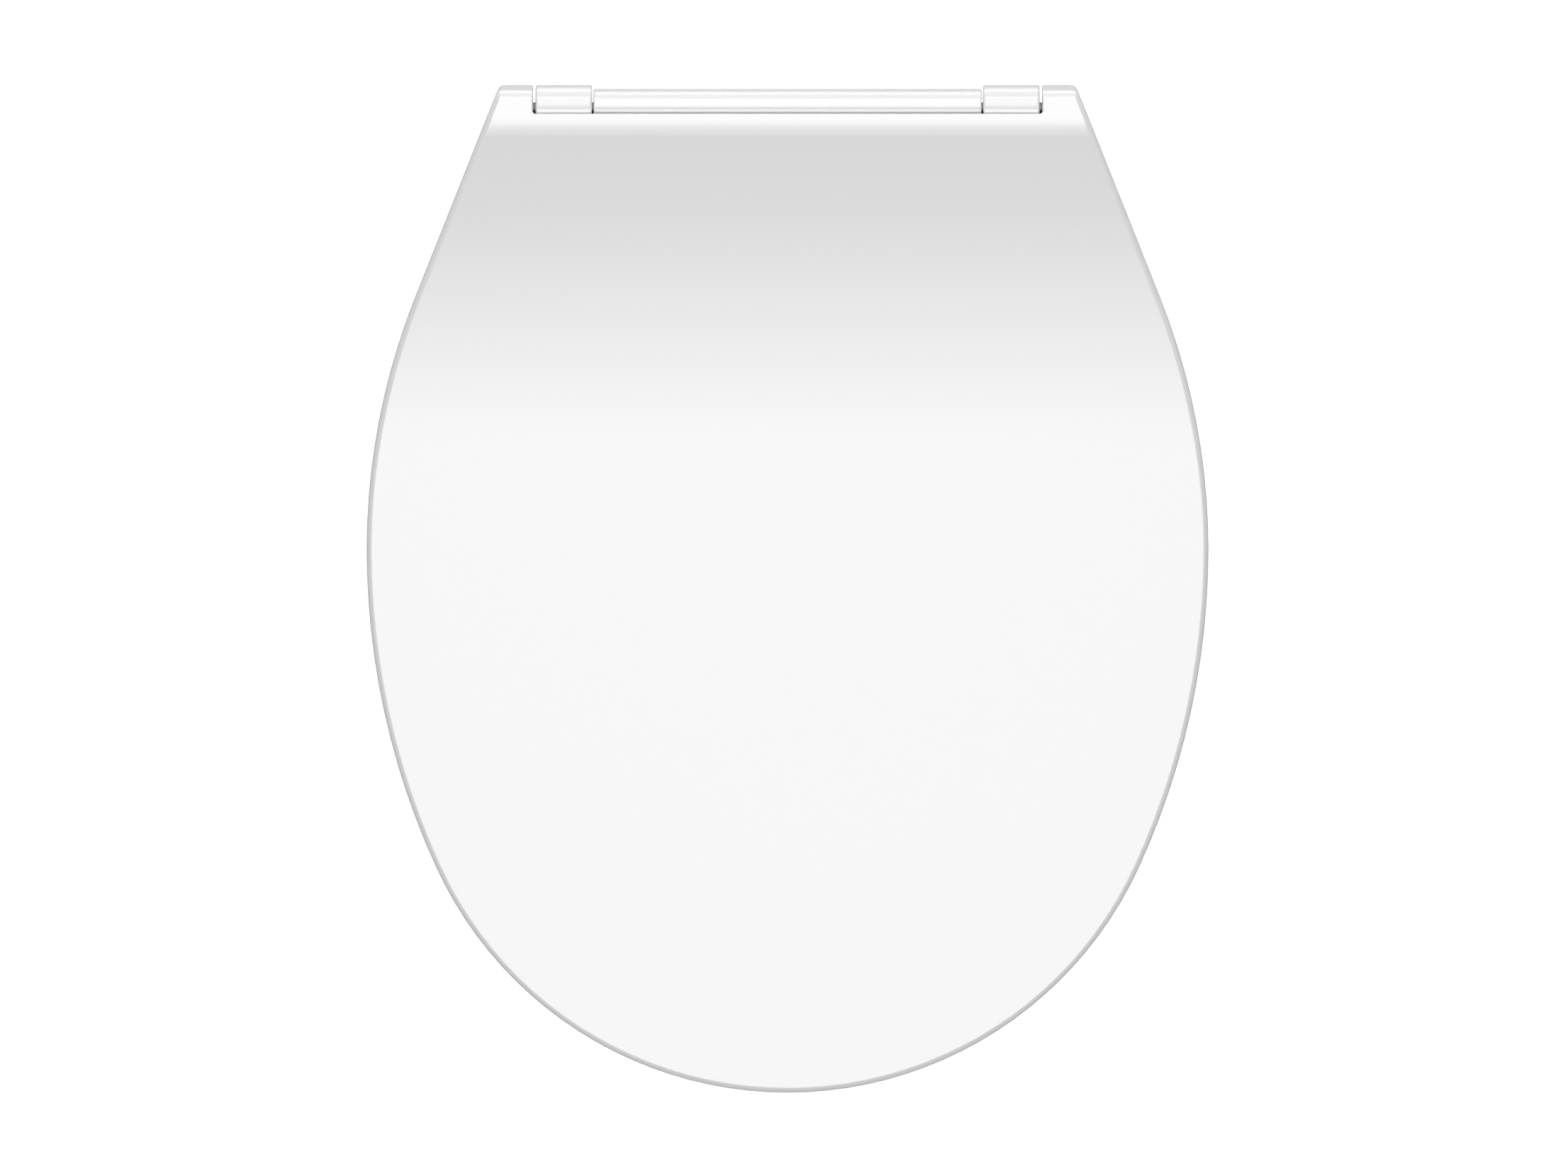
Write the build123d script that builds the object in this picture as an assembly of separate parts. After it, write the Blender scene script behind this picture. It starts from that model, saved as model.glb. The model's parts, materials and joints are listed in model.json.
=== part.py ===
from build123d import *
import math
import os

# Slim soft-close toilet seat: a lid and a seat ring on two damped hinges that lift off their posts.
# Millimetres. The origin lies on the bowl's top face, midway between the two fixing bolts.
# +X is to the right, +Y towards the rear, +Z up. The seat is modelled closed.

# Lid outline in plan
LID_WIDTH = 370.0
LID_LENGTH = 443.0
REAR_WIDTH = 253.2
WIDEST_FROM_REAR = 204.1
FLANK_LENGTH = 100.5
FRONT_BLEND = 24.6

# Lid section
LID_THICKNESS = 15.0
LID_PLATE = 4.5
LID_RIM = 7.0
LID_EDGE = 2.6
LID_INNER_FILLET = 2.5
LID_HOLLOW_CORNER = 8.0
LID_REAR_WALL = 4.5
LID_GAP = 1.5

# Rear of the lid, where it slopes down to the hinge
SLOPE_ANGLE = 16.0
SLOPE_AHEAD_OF_AXIS = 7.3
SLOPE_ROUND = 34.0
EAR_LEAN = 20.0
EAR_ROUND = 8.0

# Hinge row, across the seat
KNUCKLE_RADIUS = 10.6
EAR_WIDTH = 14.6
EAR_GAP = 1.2
BARREL_WIDTH = 24.8
BAR_GAP = 0.7
BAR_RADIUS = 8.9
RECESS_CLEARANCE = 0.6
NOTCH_AHEAD = 2.2
NOTCH_CORNER = 1.3
NOTCH_EDGE = 0.6

# Seat ring
SEAT_INSET = 1.0
SEAT_THICKNESS = 14.5
SEAT_SKIN = 6.0
RAIL_WALL = 6.0
HOLE_WIDTH = 222.0
HOLE_FRONT = 150.0
HOLE_REAR = 126.0
HOLE_BLEND = 28.0
FRONT_RAIL = 74.0
SEAT_OUTER_EDGE = 4.0
SEAT_INNER_EDGE = 6.5
SEAT_LOWER_EDGE = 2.0
SEAT_REAR_CORNER = 6.0
CHANNEL_FROM_AXIS = 34.0
CHANNEL_CORNER = 8.0
SHOULDER_CLEARANCE = 2.4
BAR_WEB = 12.0
BAR_ROOT_FILLET = 2.0
BAR_END_EDGE = 0.6

# Hinge housing: barrel and foot
BARREL_WALL = 2.0
BARREL_END_WALL = 2.2
BARREL_EDGE = 0.9
FOOT_TOP_BELOW_AXIS = 7.5
FOOT_REAR_FROM_AXIS = 5.0
FOOT_CORNER = 3.0
FOOT_FRONT_WALL = 2.0
NECK_FILLET = 2.0
POCKET_CLEARANCE = 1.2

# Damper and pin
CASE_CLEARANCE = 0.1
CASE_WALL = 1.5
CASE_END = 2.0
COVER_THICKNESS = 2.0
CAP_THICKNESS = 2.2
ROTOR_HUB_RADIUS = 4.4
VANE_WIDTH = 3.0
STATOR_WIDTH = 3.4
VANE_CLEARANCE = 0.2
STATOR_ANGLE = 270.0
VANE_LEAD = 40.0
PIN_RADIUS = 3.0
PIN_FLATS = 4.6
PIN_IN_EAR = 10.0
PIN_IN_BAR = 11.0
PIN_CHAMFER = 0.5
RUNNING_CLEARANCE = 0.08
KEY_CLEARANCE = 0.05
SEAL_SECTION = 0.9
SEAL_SEAT_DEPTH = 1.0
FIT_CLEARANCE = 0.03

# Bushes
BUSH_RADIUS = 5.5
BUSH_SQUARE = 9.4
BUSH_CORNER = 1.2
BUSH_WALL_BEHIND = 1.0

# Post, release slider and spring
POST_AHEAD_OF_AXIS = 15.0
POST_RADIUS = 5.0
POST_NECK_RADIUS = 2.9
POST_SPIGOT_RADIUS = 4.0
POST_CLEARANCE = 0.15
POST_HEAD = 5.4
POST_CHAMFER = 1.2
POST_ROOF = 2.0
SLIDER_THICKNESS = 2.6
SLIDER_WIDTH = 13.6
SLIDER_CLEARANCE = 0.25
SLIDER_WEB = 2.4
SLIDER_CORNER = 1.5
SLIDER_HOLE_CLEARANCE = 0.2
RELEASE_TRAVEL = 2.0
BUTTON_STAND = 1.0
SPRING_LENGTH = 4.4
SPRING_RADIUS = 1.0
SPRING_WIRE = 0.5
SPRING_TURNS = 4
SPRING_END_GAP = 0.05

# Base plate, gasket and fixings
HINGE_SETBACK = 25.0
BOLT_SPACING = 155.0
GASKET_THICKNESS = 1.2
PLATE_THICKNESS = 3.8
PLATE_RADIUS = 12.3
PLATE_EDGE = 0.8
SLOT_TRAVEL = 10.0
BOLT_RADIUS = 3.0
BOLT_HEAD_RADIUS = 6.0
BOLT_HEAD_HEIGHT = 2.6
BOLT_HEAD_EDGE = 1.2
BOLT_HEAD_SINK = 2.0
BOLT_NECK = 6.2
BOLT_THREAD_RADIUS = 2.7
BOLT_LENGTH = 58.0
BOLT_CLEARANCE = 0.2
LEDGE_THICKNESS = 22.0
WASHER_RADIUS = 11.0
WASHER_THICKNESS = 3.0
SEAT_GAP = 0.2
NUT_FLANGE_RADIUS = 9.5
NUT_FLANGE = 2.0
NUT_HUB_RADIUS = 6.0
NUT_HUB = 11.0
NUT_WING_SPAN = 36.0
NUT_WING_WIDTH = 3.2
NUT_WING_HEIGHT = 12.0
NUT_WING_CORNER = 5.0

# Buffers
BUFFER_HEIGHT = 8.0
BUFFER_LENGTH = 30.0
BUFFER_WIDTH = 13.0
BUFFER_EDGE = 2.0
BUFFER_STEM_RADIUS = 2.5
BUFFER_STEM_LENGTH = 5.0
BUFFER_STEM_SPACING = 14.0
BUFFER_BOSS_MARGIN = 2.0
FRONT_BUFFER_FROM_NOSE = 105.0
REAR_BUFFER_FROM_NOSE = 325.0
LID_BUFFER_RADIUS = 6.0
LID_BUFFER_HEIGHT = 4.0
LID_BUFFER_EDGE = 1.0
LID_BUFFER_STEM = 3.5
LID_BOSS_MARGIN = 1.5

# Heights, from the bowl's face up
PLATE_TOP = GASKET_THICKNESS + PLATE_THICKNESS
SEAT_TOP = BUFFER_HEIGHT + SEAT_THICKNESS
AXIS_Z = SEAT_TOP + LID_GAP

# Places along the seat
AXIS_Y = HINGE_SETBACK
REAR_Y = AXIS_Y + KNUCKLE_RADIUS
NOSE_Y = REAR_Y - LID_LENGTH
WIDEST_Y = REAR_Y - WIDEST_FROM_REAR
POST_Y = AXIS_Y - POST_AHEAD_OF_AXIS
RECESS_RADIUS = KNUCKLE_RADIUS + RECESS_CLEARANCE
SHOULDER_Y = AXIS_Y - KNUCKLE_RADIUS - SHOULDER_CLEARANCE
HOLE_WIDEST_Y = NOSE_Y + FRONT_RAIL + HOLE_FRONT

# Places across the seat, on the right-hand side
EAR_X = REAR_WIDTH / 2 - EAR_WIDTH
BARREL_OUT_X = EAR_X - EAR_GAP
BARREL_IN_X = BARREL_OUT_X - BARREL_WIDTH
BAR_X = BARREL_IN_X - BAR_GAP
HINGE_X = BARREL_OUT_X - BARREL_WIDTH / 2
BOLT_X = BOLT_SPACING / 2

# Inside the barrel
BORE_RADIUS = KNUCKLE_RADIUS - BARREL_WALL
CASE_RADIUS = BORE_RADIUS - CASE_CLEARANCE
CHAMBER_RADIUS = CASE_RADIUS - CASE_WALL
CASE_IN_X = BARREL_IN_X + CAP_THICKNESS + CASE_CLEARANCE
CASE_OUT_X = BARREL_OUT_X - BARREL_END_WALL - CASE_CLEARANCE
ROTOR_IN_X = CASE_IN_X + COVER_THICKNESS + VANE_CLEARANCE
ROTOR_OUT_X = CASE_OUT_X - CASE_END - VANE_CLEARANCE
PIN_HOLE_RADIUS = PIN_RADIUS + RUNNING_CLEARANCE
SEAL_SEAT_RADIUS = PIN_HOLE_RADIUS + SEAL_SECTION + FIT_CLEARANCE

# Foot of the hinge
SLIDER_BOTTOM = PLATE_TOP + SLIDER_CLEARANCE
SLIDER_TOP = SLIDER_BOTTOM + SLIDER_THICKNESS
FOOT_TOP = AXIS_Z - FOOT_TOP_BELOW_AXIS
FOOT_REAR_Y = AXIS_Y - FOOT_REAR_FROM_AXIS
SLIDER_HOLE_RADIUS = POST_RADIUS + SLIDER_HOLE_CLEARANCE
SLIDER_FRONT_Y = POST_Y + RELEASE_TRAVEL - SLIDER_HOLE_RADIUS - SLIDER_WEB
SLIDER_REAR_Y = FOOT_REAR_Y + RELEASE_TRAVEL + BUTTON_STAND
CHANNEL_FRONT_Y = SLIDER_FRONT_Y - SPRING_LENGTH
FOOT_FRONT_Y = CHANNEL_FRONT_Y - FOOT_FRONT_WALL

HINGE_PLANE = Plane(origin=(0, AXIS_Y, AXIS_Z), x_dir=(0, 1, 0), z_dir=(1, 0, 0))
SIDES = (-1, 1)
TOLERANCE = 1e-4


def half_oval(half_width, length, blend):
    """Radii of the side arc and the end arc of half an oval. They meet where it has turned by blend."""
    turn = math.radians(blend)
    ratio = (1 - math.sin(turn)) / math.cos(turn)
    side = (length - half_width * ratio) / (math.sin(turn) - ratio * (1 - math.cos(turn)))
    end = (half_width - side * (1 - math.cos(turn))) / math.cos(turn)
    return side, end


SIDE_RADIUS, NOSE_RADIUS = half_oval(LID_WIDTH / 2, LID_LENGTH - WIDEST_FROM_REAR, FRONT_BLEND)
HOLE_FRONT_RADII = half_oval(HOLE_WIDTH / 2, HOLE_FRONT, HOLE_BLEND)
HOLE_REAR_RADII = half_oval(HOLE_WIDTH / 2, HOLE_REAR, HOLE_BLEND)
FLANK_TURN = 2 * math.atan((LID_WIDTH - REAR_WIDTH) / 2 / (FLANK_LENGTH + WIDEST_FROM_REAR))
SHOULDER_RADIUS = (WIDEST_FROM_REAR - FLANK_LENGTH * math.cos(FLANK_TURN)) / math.sin(FLANK_TURN)


def on_circle(centre, radius, angle):
    """Point on a circle, with the angle in radians from +X."""
    return (centre[0] + radius * math.cos(angle), centre[1] + radius * math.sin(angle))


def mirrored(points):
    """The same points on the left-hand side."""
    return [(-x, y) for x, y in points]


def flank_x(y):
    """Half-width along the straight flank, at y."""
    return REAR_WIDTH / 2 + (REAR_Y - y) * math.tan(FLANK_TURN)


def lid_outline(inset, rear_y):
    """The lid's plan outline, moved inwards by inset and cut straight across at rear_y."""
    shoulder = (LID_WIDTH / 2 - SHOULDER_RADIUS, WIDEST_Y)
    side = (LID_WIDTH / 2 - SIDE_RADIUS, WIDEST_Y)
    nose = (0, NOSE_Y + NOSE_RADIUS)
    turn = math.radians(FRONT_BLEND)
    corner = (flank_x(rear_y) - inset / math.cos(FLANK_TURN), rear_y)
    flank_end = on_circle(shoulder, SHOULDER_RADIUS - inset, FLANK_TURN)
    shoulder_middle = on_circle(shoulder, SHOULDER_RADIUS - inset, FLANK_TURN / 2)
    widest = (LID_WIDTH / 2 - inset, WIDEST_Y)
    side_middle = on_circle(side, SIDE_RADIUS - inset, -turn / 2)
    nose_start = on_circle(nose, NOSE_RADIUS - inset, -turn)
    right = [corner, flank_end, shoulder_middle, widest, side_middle, nose_start]
    edges = [Line(corner, mirrored([corner])[0])]
    for p in (right, mirrored(right)):
        edges.append(Line(p[0], p[1]))
        edges.append(ThreePointArc(p[1], p[2], p[3]))
        edges.append(ThreePointArc(p[3], p[4], p[5]))
    edges.append(ThreePointArc(nose_start, (0, NOSE_Y + inset), mirrored([nose_start])[0]))
    return make_face(edges)


def seat_hole(grow):
    """The hole in the seat ring, grown outwards by grow."""
    turn = math.radians(HOLE_BLEND)
    widest = (HOLE_WIDTH / 2 + grow, HOLE_WIDEST_Y)
    edges = []
    for way, length, (side, end) in ((-1, HOLE_FRONT, HOLE_FRONT_RADII), (1, HOLE_REAR, HOLE_REAR_RADII)):
        side_centre = (HOLE_WIDTH / 2 - side, HOLE_WIDEST_Y)
        end_centre = (0, HOLE_WIDEST_Y + way * (length - end))
        middle = on_circle(side_centre, side + grow, way * turn / 2)
        start = on_circle(end_centre, end + grow, way * turn)
        tip = (0, HOLE_WIDEST_Y + way * (length + grow))
        for p in ([widest, middle, start], mirrored([widest, middle, start])):
            edges.append(ThreePointArc(*p))
        edges.append(ThreePointArc(start, tip, mirrored([start])[0]))
    return make_face(edges)


def lid_half_width(y):
    """Half-width of the lid's outline, ahead of the flanks or along them."""
    turn = math.radians(FRONT_BLEND)
    if y > WIDEST_Y + SHOULDER_RADIUS * math.sin(FLANK_TURN):
        return flank_x(y)
    if y > WIDEST_Y:
        radius, centre = SHOULDER_RADIUS, (LID_WIDTH / 2 - SHOULDER_RADIUS, WIDEST_Y)
    elif y > NOSE_Y + NOSE_RADIUS * (1 - math.sin(turn)):
        radius, centre = SIDE_RADIUS, (LID_WIDTH / 2 - SIDE_RADIUS, WIDEST_Y)
    else:
        radius, centre = NOSE_RADIUS, (0, NOSE_Y + NOSE_RADIUS)
    return centre[0] + math.sqrt(radius**2 - (y - centre[1]) ** 2)


def hole_half_width(y):
    """Half-width of the seat's hole, at y."""
    turn = math.radians(HOLE_BLEND)
    way = 1 if y > HOLE_WIDEST_Y else -1
    length, (side, end) = (HOLE_REAR, HOLE_REAR_RADII) if way > 0 else (HOLE_FRONT, HOLE_FRONT_RADII)
    along = abs(y - HOLE_WIDEST_Y)
    if along < side * math.sin(turn):
        return HOLE_WIDTH / 2 - side + math.sqrt(side**2 - along**2)
    return math.sqrt(end**2 - (along - length + end) ** 2)


def rail_middle(y):
    """Point midway across the right-hand rail of the seat ring, at y."""
    return ((lid_half_width(y) + hole_half_width(y)) / 2, y)


def buffer_places():
    """Plan location of each buffer, turned along its rail."""
    places = []
    for from_nose in (FRONT_BUFFER_FROM_NOSE, REAR_BUFFER_FROM_NOSE):
        y = NOSE_Y + from_nose
        (x0, y0), (x1, y1) = rail_middle(y - 1), rail_middle(y + 1)
        turn = math.degrees(math.atan2(y1 - y0, x1 - x0))
        x = rail_middle(y)[0]
        places.append(Pos(x, y) * Rot(0, 0, turn))
        places.append(Pos(-x, y) * Rot(0, 0, -turn))
    return places


def along_x(profile, start, end):
    """Solid of a section drawn about the hinge axis, from x = start to x = end."""
    return extrude(Pos(start, 0, 0) * (HINGE_PLANE * profile), end - start)


def upright(profile, bottom, top):
    """Solid of a plan shape between two heights."""
    return extrude(Pos(0, 0, bottom) * profile, top - bottom)


def left_copy(solid):
    return mirror(solid, about=Plane.YZ)


def block(x0, x1, y0, y1, z0, z1):
    """Box between two corners."""
    return Pos((x0 + x1) / 2, (y0 + y1) / 2, (z0 + z1) / 2) * Box(x1 - x0, y1 - y0, z1 - z0)


def flatted_circle(radius, flats):
    """Round section with two flats."""
    return Circle(radius) & Rectangle(2 * radius, flats)


def bush_bore(keyed, clearance):
    """Outer section of a bush: square if it is keyed, round if it is not."""
    if keyed:
        return RectangleRounded(BUSH_SQUARE + 2 * clearance, BUSH_SQUARE + 2 * clearance, BUSH_CORNER)
    return Circle(BUSH_RADIUS + clearance)


def lid_profile():
    """Side section of the lid above the hinge axis: flat plate, slope down to the rear, leaning rear wall."""
    slope = math.tan(math.radians(SLOPE_ANGLE))
    lean = math.radians(EAR_LEAN)
    wall_foot = KNUCKLE_RADIUS / math.cos(lean)
    brow_height = LID_THICKNESS - (wall_foot + SLOPE_AHEAD_OF_AXIS) * slope
    brow_height /= 1 - slope * math.tan(lean)
    brow = (wall_foot - brow_height * math.tan(lean), brow_height)
    wall_end = on_circle((0, 0), KNUCKLE_RADIUS, lean)
    round_middle = on_circle((0, 0), KNUCKLE_RADIUS, lean / 2)
    front_foot, front_top = (-LID_LENGTH, 0), (-LID_LENGTH, LID_THICKNESS)
    slope_top = (-SLOPE_AHEAD_OF_AXIS, LID_THICKNESS)
    section = make_face([
        Polyline(front_foot, front_top, slope_top, brow, wall_end),
        ThreePointArc(wall_end, round_middle, (KNUCKLE_RADIUS, 0)),
        Line((KNUCKLE_RADIUS, 0), front_foot),
    ])
    for corner, radius in ((slope_top, SLOPE_ROUND), (brow, EAR_ROUND)):
        section = fillet(section.vertices().sort_by_distance((*corner, 0))[0], radius)
    return section


def top_edges(solid, floor):
    """Edges round the top of upright walls that stand on the plane z = floor."""
    walls = solid.faces().filter_by(lambda f: abs(f.normal_at().Z) < TOLERANCE)
    edges = walls.edges().filter_by(lambda e: e.bounding_box().max.Z > floor + TOLERANCE)
    return edges.filter_by(Axis.Z, reverse=True)


def lid_shell():
    """The lid above the hinge axis, with its rounded edge, hollow underside and hinge recess."""
    beyond = REAR_Y + KNUCKLE_RADIUS
    above = AXIS_Z + 2 * LID_THICKNESS
    shell = upright(lid_outline(0, beyond), AXIS_Z, above)
    shell &= along_x(lid_profile(), -LID_WIDTH, LID_WIDTH)
    shell = fillet(top_edges(shell, AXIS_Z), LID_EDGE)
    hollow_rear = AXIS_Y - RECESS_RADIUS - LID_REAR_WALL
    hollow = upright(lid_outline(LID_RIM, hollow_rear), AXIS_Z, AXIS_Z + LID_THICKNESS - LID_PLATE)
    rear_corners = hollow.edges().filter_by(Axis.Z).sort_by(Axis.Y)[-2:]
    hollow = fillet(rear_corners, LID_HOLLOW_CORNER)
    hollow = fillet(hollow.faces().sort_by(Axis.Z)[-1].edges(), LID_INNER_FILLET)
    notch = block(-EAR_X, EAR_X, AXIS_Y - NOTCH_AHEAD, beyond, AXIS_Z - LID_THICKNESS, above)
    notch = fillet(notch.edges().filter_by(Axis.Z).sort_by(Axis.Y)[:2], NOTCH_CORNER)
    return shell - hollow - notch - along_x(Circle(RECESS_RADIUS), -EAR_X, EAR_X)


def knuckle(shell):
    """Lower half of the right-hand ear, turned about the hinge axis from the ear's own plan section."""
    sole = shell.faces().filter_by(Axis.Z).sort_by(Axis.Z)[0]
    length = LID_WIDTH / 2 - EAR_X
    behind = Pos(EAR_X + length / 2, AXIS_Y + KNUCKLE_RADIUS, AXIS_Z) * Rectangle(length, 2 * KNUCKLE_RADIUS)
    return revolve(behind & sole, Axis((0, AXIS_Y, AXIS_Z), (-1, 0, 0)), 180)


def ear_edges(lid):
    """Round edges of the ears that face the barrels. They run on smoothly into the notch's front edge."""
    arcs = lid.edges().filter_by(GeomType.CIRCLE)
    upright_arcs = arcs.filter_by(lambda e: e.bounding_box().size.X < TOLERANCE)
    facing = upright_arcs.filter_by(lambda e: abs(abs(e.center().X) - EAR_X) < TOLERANCE)
    return facing.filter_by(lambda e: e.center().Y > AXIS_Y - NOTCH_AHEAD)


def lid_buffer_stem(clearance):
    stem = Circle(BUFFER_STEM_RADIUS + clearance)
    base = SEAT_TOP + LID_BUFFER_HEIGHT
    return upright(stem, base, base + LID_BUFFER_STEM + clearance)


def make_lid():
    shell = lid_shell()
    right = knuckle(shell)
    lid = shell + right + left_copy(right)
    lid = fillet(ear_edges(lid), NOTCH_EDGE)
    plate_under = AXIS_Z + LID_THICKNESS - LID_PLATE
    boss = upright(Circle(LID_BUFFER_RADIUS + LID_BOSS_MARGIN), SEAT_TOP + LID_BUFFER_HEIGHT, plate_under)
    for place in buffer_places():
        lid += place * boss
        lid -= place * lid_buffer_stem(FIT_CLEARANCE)
    depth = PIN_IN_EAR + BUSH_WALL_BEHIND + FIT_CLEARANCE
    lid -= along_x(bush_bore(False, FIT_CLEARANCE), EAR_X, EAR_X + depth)
    lid -= left_copy(along_x(bush_bore(True, FIT_CLEARANCE), EAR_X, EAR_X + depth))
    return lid


def make_lid_buffers():
    head = upright(Circle(LID_BUFFER_RADIUS), SEAT_TOP, SEAT_TOP + LID_BUFFER_HEIGHT)
    head = fillet(head.edges().sort_by(Axis.Z)[0], LID_BUFFER_EDGE)
    return [place * (head + lid_buffer_stem(0)) for place in buffer_places()]


def make_bush(keyed, start, length):
    """Bush on the hinge axis, running out from x = start. A keyed one drives the pin by its flats."""
    bore = Circle(PIN_HOLE_RADIUS)
    if keyed:
        bore = flatted_circle(PIN_RADIUS + KEY_CLEARANCE, PIN_FLATS + 2 * KEY_CLEARANCE)
    return along_x(bush_bore(keyed, 0) - bore, start, start + length)


def hinge_bar():
    """The bar between the hinge barrels, with the web that joins it to the ring."""
    level = SEAT_TOP - AXIS_Z
    web_front = -KNUCKLE_RADIUS - SHOULDER_CLEARANCE - BAR_WEB
    web = Pos(web_front / 2, (level - BAR_RADIUS) / 2) * Rectangle(-web_front, level + BAR_RADIUS)
    section = Circle(BAR_RADIUS) + web
    root = section.vertices().filter_by(lambda v: abs(v.Y - level) < TOLERANCE).sort_by(Axis.X)[-1]
    section = fillet(root, BAR_ROOT_FILLET)
    bar = along_x(section, -BAR_X, BAR_X)
    round_edges = bar.edges().filter_by(GeomType.CIRCLE)
    return fillet(round_edges.filter_by(lambda e: e.radius > BAR_ROOT_FILLET), BAR_END_EDGE)


def ring_plate():
    """The ring itself, with rounded edges, before it is hollowed."""
    plate = upright(lid_outline(SEAT_INSET, SHOULDER_Y), BUFFER_HEIGHT, SEAT_TOP)
    plate = fillet(plate.edges().filter_by(Axis.Z).sort_by(Axis.Y)[-2:], SEAT_REAR_CORNER)
    plate = fillet(plate.faces().sort_by(Axis.Z)[-1].edges(), SEAT_OUTER_EDGE)
    plate = fillet(plate.faces().sort_by(Axis.Z)[0].edges(), SEAT_LOWER_EDGE)
    plate -= upright(seat_hole(0), BUFFER_HEIGHT, SEAT_TOP)
    plate = fillet(plate.faces().sort_by(Axis.Z)[-1].inner_wires().edges(), SEAT_INNER_EDGE)
    return fillet(plate.faces().sort_by(Axis.Z)[0].inner_wires().edges(), SEAT_LOWER_EDGE)


def ring_channel():
    """Hollow under the ring, between its inner and outer walls."""
    plan = lid_outline(SEAT_INSET + RAIL_WALL, AXIS_Y - CHANNEL_FROM_AXIS) - seat_hole(RAIL_WALL)
    channel = upright(plan, BUFFER_HEIGHT, SEAT_TOP - SEAT_SKIN)
    return fillet(channel.edges().filter_by(Axis.Z).sort_by(Axis.Y)[-2:], CHANNEL_CORNER)


def hinge_pocket():
    """Room in the ring for the right-hand hinge's foot, which the ring swings away from."""
    front = FOOT_FRONT_Y - POCKET_CLEARANCE
    inner = BARREL_IN_X - POCKET_CLEARANCE
    outer = BARREL_OUT_X + POCKET_CLEARANCE
    return block(inner, outer, front, AXIS_Y, 0, FOOT_TOP + POCKET_CLEARANCE)


def seat_buffer_stems(clearance):
    """The two stems of one seat buffer, about its own centre."""
    top = BUFFER_HEIGHT + BUFFER_STEM_LENGTH + clearance
    stem = upright(Circle(BUFFER_STEM_RADIUS + clearance), BUFFER_HEIGHT, top)
    return [Pos(side * BUFFER_STEM_SPACING / 2, 0) * stem for side in SIDES]


def make_seat_ring():
    ring = ring_plate() + hinge_bar() - ring_channel()
    pocket = hinge_pocket()
    ring -= [pocket, left_copy(pocket)]
    boss_plan = SlotOverall(BUFFER_LENGTH + 2 * BUFFER_BOSS_MARGIN, BUFFER_WIDTH + 2 * BUFFER_BOSS_MARGIN)
    boss = upright(boss_plan, BUFFER_HEIGHT, SEAT_TOP - SEAT_SKIN)
    for place in buffer_places():
        ring += place * boss
        ring -= [place * stem for stem in seat_buffer_stems(FIT_CLEARANCE)]
    depth = PIN_IN_BAR + BUSH_WALL_BEHIND + FIT_CLEARANCE
    ring -= along_x(bush_bore(True, FIT_CLEARANCE), BAR_X - depth, BAR_X)
    ring -= left_copy(along_x(bush_bore(False, FIT_CLEARANCE), BAR_X - depth, BAR_X))
    return ring


def make_seat_buffers():
    pad = upright(SlotOverall(BUFFER_LENGTH, BUFFER_WIDTH), 0, BUFFER_HEIGHT)
    pad = fillet(pad.faces().sort_by(Axis.Z)[0].edges(), BUFFER_EDGE)
    pad += seat_buffer_stems(0)
    return [place * pad for place in buffer_places()]


def housing_section():
    """Barrel and foot from the side, about the hinge axis."""
    front = FOOT_FRONT_Y - AXIS_Y
    rear = -FOOT_REAR_FROM_AXIS
    sole = PLATE_TOP - AXIS_Z
    foot = Pos((front + rear) / 2, (sole - FOOT_TOP_BELOW_AXIS) / 2)
    foot *= Rectangle(rear - front, -FOOT_TOP_BELOW_AXIS - sole)
    section = Circle(KNUCKLE_RADIUS) + foot
    necks = section.vertices().filter_by(lambda v: abs(math.hypot(v.X, v.Y) - KNUCKLE_RADIUS) < TOLERANCE)
    section = fillet(necks, NECK_FILLET)
    toe = section.vertices().group_by(Axis.X)[0].sort_by(Axis.Y)[-1]
    return fillet(toe, FOOT_CORNER)


def make_housing():
    """Right-hand hinge housing: barrel for the damper, foot over the post."""
    housing = along_x(housing_section(), BARREL_IN_X, BARREL_OUT_X)
    ends = housing.faces().filter_by(Axis.X).edges()
    housing = fillet(ends.filter_by(lambda e: e.bounding_box().max.Z > PLATE_TOP + TOLERANCE), BARREL_EDGE)
    housing -= along_x(Circle(BORE_RADIUS), BARREL_IN_X, BARREL_OUT_X - BARREL_END_WALL)
    housing -= along_x(Circle(PIN_HOLE_RADIUS), BARREL_IN_X, BARREL_OUT_X)
    post_hole = Pos(HINGE_X, POST_Y) * Circle(POST_RADIUS + POST_CLEARANCE)
    housing -= upright(post_hole, PLATE_TOP, FOOT_TOP - POST_ROOF)
    half = SLIDER_WIDTH / 2 + SLIDER_CLEARANCE
    ceiling = SLIDER_TOP + SLIDER_CLEARANCE
    return housing - block(HINGE_X - half, HINGE_X + half, CHANNEL_FRONT_Y, FOOT_REAR_Y, PLATE_TOP, ceiling)


def make_cap():
    """Disc that closes the barrel's inner end."""
    disc = Circle(BORE_RADIUS - FIT_CLEARANCE) - Circle(PIN_HOLE_RADIUS)
    return along_x(disc, BARREL_IN_X, BARREL_IN_X + CAP_THICKNESS)


def spoke(width, inner, outer, angle):
    """Section of a radial blade between two radii."""
    blade = Pos((inner + outer) / 2, 0) * Rectangle(outer - inner, width)
    return (Rot(0, 0, angle) * blade) & Circle(outer)


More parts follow.
